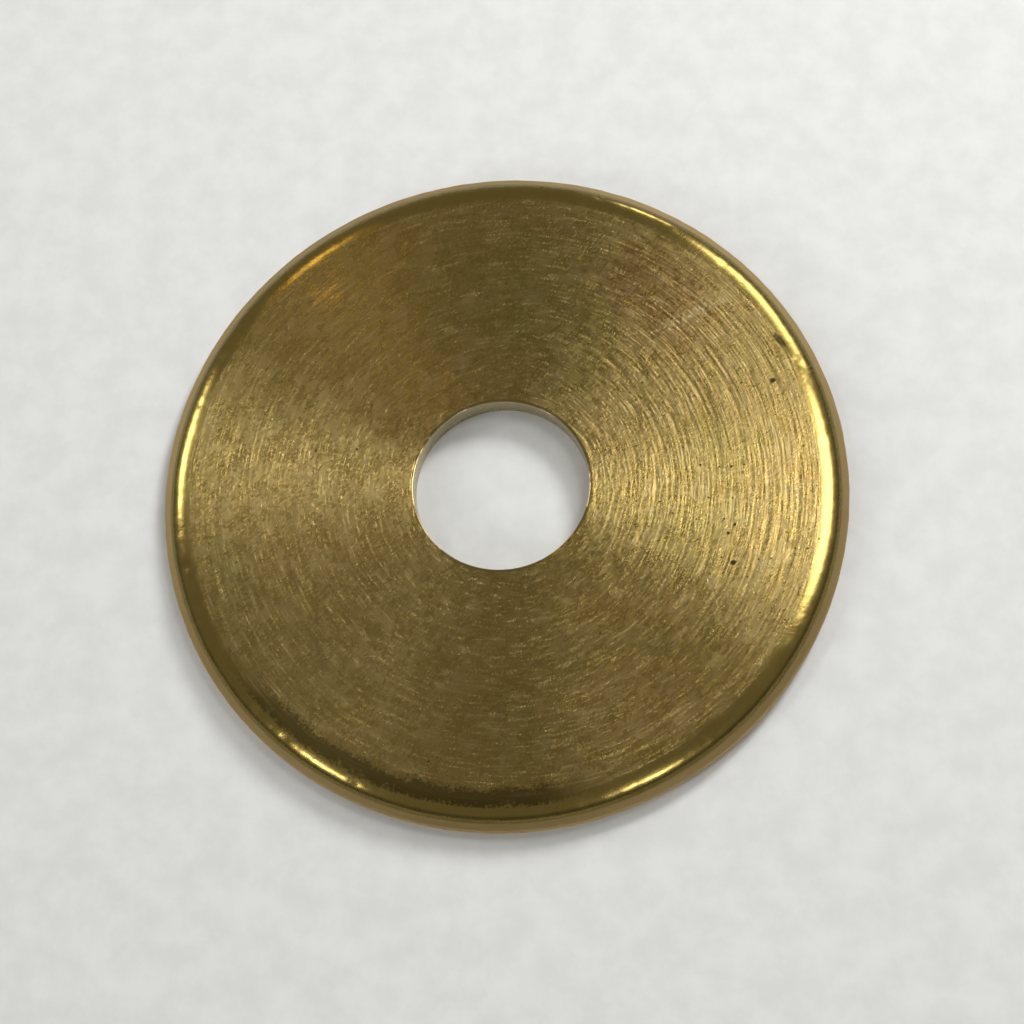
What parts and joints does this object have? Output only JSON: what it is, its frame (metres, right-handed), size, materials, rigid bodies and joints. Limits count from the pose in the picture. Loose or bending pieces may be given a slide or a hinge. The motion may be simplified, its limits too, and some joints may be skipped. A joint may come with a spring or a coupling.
{
  "type": "transit token",
  "caption": "Plain round brass fare token: a thin turned disc with a round hole through its middle and a rounded shoulder round its rim.",
  "frame": {"origin": "middle of the underside, on the axis of the hole", "axes": "+Z along the hole, from the underside to the turned face; the disc is round about Z, so X and Y are free"},
  "size_m": [0.032, 0.032, 0.0012],
  "materials": {
    "brass": "turned brass, worn to a satin, with olive-brown tarnish"
  },
  "bodies": {
    "root": {"token_disc": "brass"}
  },
  "joints": []
}
